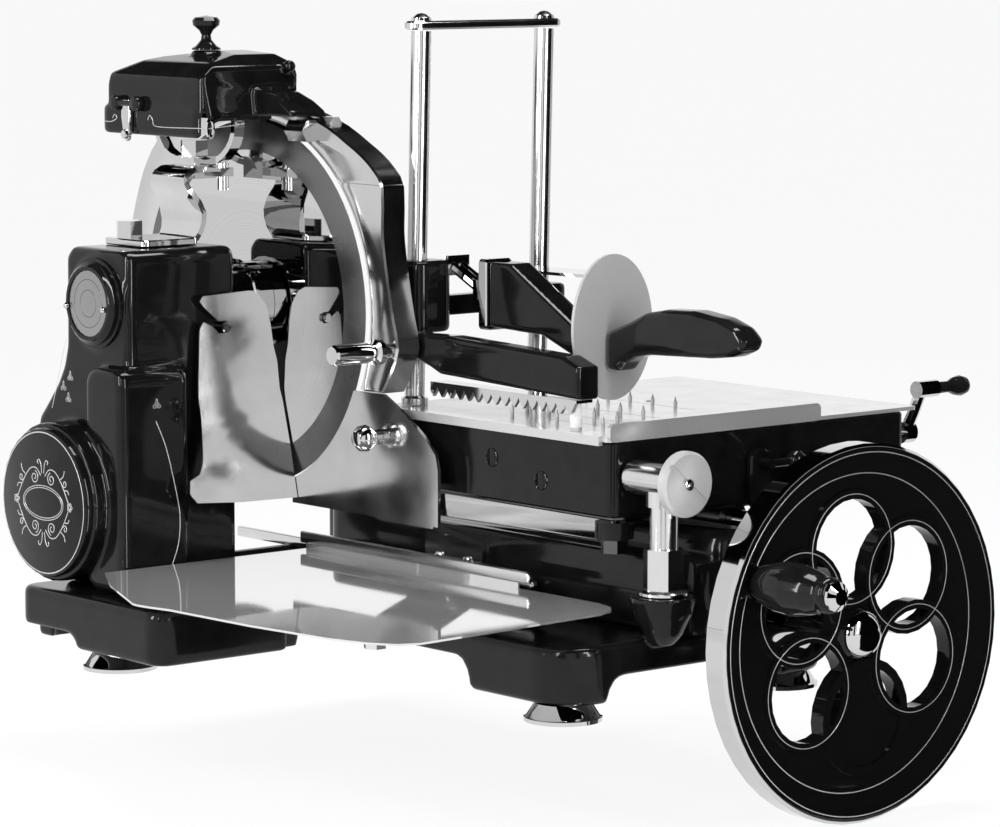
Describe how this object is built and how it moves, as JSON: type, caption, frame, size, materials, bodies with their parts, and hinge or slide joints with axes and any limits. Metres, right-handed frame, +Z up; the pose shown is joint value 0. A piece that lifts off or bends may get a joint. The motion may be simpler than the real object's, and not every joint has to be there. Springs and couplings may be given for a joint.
{
  "type": "hand crank meat slicer",
  "caption": "Hand cranked slicer: a flywheel turns a round blade in a ring guard while a sliding table with a toothed press feeds the meat past it.",
  "frame": {"origin": "under the blade's centre, in the cutting plane, at the level of the feet's undersides", "axes": "+X along the carriage's travel toward the flywheel, +Y along the blade's axis toward the meat table, +Z up"},
  "size_m": [0.8173, 0.6616, 0.6092],
  "materials": {
    "black_enamel": "high gloss enamel",
    "chrome": "polished chrome",
    "mirror_steel": "mirror polished stainless steel",
    "dark_steel": "blackened steel",
    "gear_steel": "machined steel",
    "dial_white": "glossy pale dial",
    "black_handle": "polished black handle",
    "stone": "bonded abrasive"
  },
  "bodies": {
    "frame": {"base_casting": "black_enamel", "bed_casting": "black_enamel", "guide_rod": "chrome", "drive_housing": "black_enamel", "round_cover": "black_enamel", "window_bezel": "black_enamel", "window_dial": "dial_white", "spindle_sleeve": "chrome", "blade_guard": "mirror_steel", "guard_plate": "mirror_steel", "deflector_pin": "chrome", "shaft_sleeve": "chrome", "regulator_pillar": "chrome", "regulator_body": "chrome", "sharpener_post": "chrome", "front_stone_holder": "chrome", "rear_stone_holder": "chrome", "drive_chain": "gear_steel", "foot_front": "chrome", "foot_rear_right": "chrome", "foot_left": "chrome", "foot_rear_left": "chrome"},
    "flywheel": {"flywheel": "black_enamel", "hub_cap": "chrome", "grip_spindle": "chrome", "drive_shaft": "gear_steel"},
    "grip": {"hand_grip": "black_handle"},
    "cross_shaft": {"cross_shaft": "gear_steel"},
    "blade": {"blade": "mirror_steel", "blade_spindle": "chrome", "upper_sprocket": "gear_steel"},
    "edge_cover": {"edge_cover": "mirror_steel"},
    "lock_knob": {"guard_lock_knob": "chrome"},
    "round_knob": {"guard_round_knob": "chrome"},
    "deflector": {"slice_deflector": "mirror_steel"},
    "tray": {"slice_tray": "mirror_steel"},
    "carriage": {"lower_carriage": "dark_steel"},
    "front_roller": {"front_roller": "black_handle"},
    "table": {"table_body": "black_enamel", "table_sheet": "mirror_steel", "front_column": "chrome", "rear_column": "chrome", "press_crossbar": "chrome"},
    "feed_crank": {"feed_crank": "chrome"},
    "crank_knob": {"crank_knob": "black_handle"},
    "table_lever": {"table_lever": "black_enamel"},
    "press": {"press_head": "black_enamel", "press_comb": "chrome", "lever_end_plate": "chrome", "lever_bars": "chrome", "leaf_guard": "chrome"},
    "press_lever": {"press_lever": "black_enamel", "hand_guard": "mirror_steel", "paddle_handle": "black_handle"},
    "press_roller": {"press_roller": "dial_white"},
    "regulator": {"regulator_dial": "chrome"},
    "sharpener_cover": {"sharpener_cover": "black_enamel", "cover_knob": "chrome"},
    "front_stone": {"front_stone": "stone"},
    "rear_stone": {"rear_stone": "stone"}
  },
  "joints": [
    {"name": "flywheel_turn", "type": "hinge", "parent": "frame", "child": "flywheel", "pos_m": [0.545, 0.157, 0.06], "axis": [1, 0, 0], "continuous": true},
    {"name": "grip_spin", "type": "hinge", "parent": "flywheel", "child": "grip", "pos_m": [0.59, 0.05, 0.11], "axis": [1, 0, 0], "continuous": true},
    {"name": "cross_shaft_turn", "type": "hinge", "parent": "frame", "child": "cross_shaft", "pos_m": [-0.008, 0, 0.06], "axis": [0, 1, 0], "continuous": true},
    {"name": "blade_spin", "type": "hinge", "parent": "frame", "child": "blade", "pos_m": [0, 0, 0.283], "axis": [0, 1, 0], "continuous": true},
    {"name": "edge_cover_lift_off", "type": "slide", "parent": "frame", "child": "edge_cover", "axis": [0, -1, 0], "range_m": [0, 0.08]},
    {"name": "lock_knob_turn", "type": "hinge", "parent": "edge_cover", "child": "lock_knob", "pos_m": [0.186, -0.03, 0.257], "axis": [0, 1, 0], "continuous": true},
    {"name": "round_knob_turn", "type": "hinge", "parent": "frame", "child": "round_knob", "pos_m": [0.172, -0.016, 0.187], "axis": [0, 1, 0], "continuous": true},
    {"name": "deflector_lift_off", "type": "slide", "parent": "frame", "child": "deflector", "axis": [1, 0, 0], "range_m": [0, 0.06]},
    {"name": "tray_pull_out", "type": "slide", "parent": "frame", "child": "tray", "axis": [0, -1, 0], "range_m": [0, 0.15]},
    {"name": "carriage_slide", "type": "slide", "parent": "frame", "child": "carriage", "axis": [1, 0, 0], "range_m": [-0.25, 0]},
    {"name": "front_roller_spin", "type": "hinge", "parent": "carriage", "child": "front_roller", "pos_m": [0.412, 0.034, 0.135], "axis": [0, 0, 1], "continuous": true},
    {"name": "table_feed", "type": "slide", "parent": "carriage", "child": "table", "axis": [0, 1, 0], "range_m": [0, 0.18]},
    {"name": "feed_crank_turn", "type": "hinge", "parent": "table", "child": "feed_crank", "pos_m": [0.41, 0.345, 0.185], "axis": [0, 1, 0], "range_deg": [0, 3240]},
    {"name": "crank_knob_spin", "type": "hinge", "parent": "feed_crank", "child": "crank_knob", "pos_m": [0.426, 0.38, 0.221], "axis": [0, 1, 0], "continuous": true},
    {"name": "table_lever_turn", "type": "hinge", "parent": "table", "child": "table_lever", "pos_m": [0.438, 0.161, 0.152], "axis": [1, 0, 0], "range_deg": [-30, 0]},
    {"name": "press_lift", "type": "slide", "parent": "table", "child": "press", "axis": [0, 0.0262, 0.9997], "range_m": [0, 0.17]},
    {"name": "press_lever_raise", "type": "hinge", "parent": "press", "child": "press_lever", "pos_m": [0.2375, 0.068, 0.3275], "axis": [0, 1, 0], "range_deg": [-20, 0]},
    {"name": "press_roller_spin", "type": "hinge", "parent": "press", "child": "press_roller", "pos_m": [0.372, 0.03, 0.22], "axis": [0, 0, 1], "continuous": true},
    {"name": "regulator_turn", "type": "hinge", "parent": "frame", "child": "regulator", "pos_m": [0.49, 0.032, 0.179], "axis": [1, 0, 0], "range_deg": [-150, 150]},
    {"name": "sharpener_cover_lift", "type": "slide", "parent": "frame", "child": "sharpener_cover", "axis": [0, 0, 1], "range_m": [0, 0.06]},
    {"name": "front_stone_spin", "type": "hinge", "parent": "frame", "child": "front_stone", "pos_m": [-0.07, -0.02, 0.452], "axis": [0, 1, 0], "continuous": true},
    {"name": "rear_stone_spin", "type": "hinge", "parent": "frame", "child": "rear_stone", "pos_m": [0.01, -0.02, 0.452], "axis": [0, 1, 0], "continuous": true}
  ],
  "couplings": [
    {"joint": "cross_shaft_turn", "follows": "flywheel_turn", "ratio": -1},
    {"joint": "blade_spin", "follows": "flywheel_turn", "ratio": -2.3636},
    {"joint": "feed_crank_turn", "follows": "table_feed", "rad_per_m": 314.16}
  ]
}
